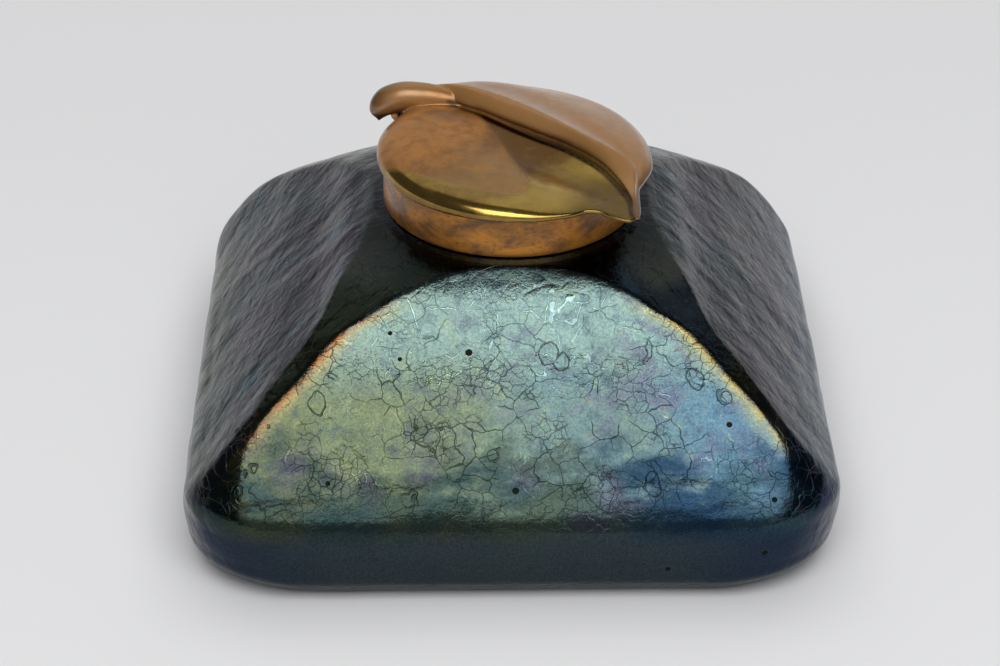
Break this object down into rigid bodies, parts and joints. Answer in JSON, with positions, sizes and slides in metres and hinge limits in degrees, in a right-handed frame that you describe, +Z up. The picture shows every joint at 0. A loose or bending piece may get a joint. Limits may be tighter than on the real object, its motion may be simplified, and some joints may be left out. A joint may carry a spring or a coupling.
{
  "type": "inkwell",
  "caption": "Pyramid-shaped iridescent glass inkwell with a brass collar, a hinged sculpted brass lid and a removable glass ink pot.",
  "frame": {"origin": "centre of the base, on the surface that it stands on", "axes": "+Z up; +X and +Y square to the flat sides of the body; the lid's thumb tip points 47 degrees from +X towards -Y, and its hinge is opposite"},
  "size_m": [0.12, 0.12, 0.0675],
  "materials": {
    "lustre_glass": "iridescent lustre, crackled, satin-glossy, opaque",
    "clear_glass": "clear, polished",
    "collar_brass": "satin with an orange-brown mottled patina",
    "lid_brass": "polished with a brown patina",
    "plaster": "matt plaster"
  },
  "bodies": {
    "base": {"glass_body": "lustre_glass", "neck_plaster": "plaster", "collar_band": "collar_brass", "ink_pot": "clear_glass", "collar_hinge_leaf": "collar_brass", "hinge_pin": "collar_brass"},
    "lid": {"lid_shell": "lid_brass", "lid_ring": "lid_brass", "lid_hinge_leaf": "lid_brass"}
  },
  "joints": [
    {"name": "lid_hinge", "type": "hinge", "parent": "base", "child": "lid", "pos_m": [-0.01822, 0.02019, 0.0594], "axis": [-0.7314, -0.682, 0], "range_deg": [0, 100]}
  ]
}
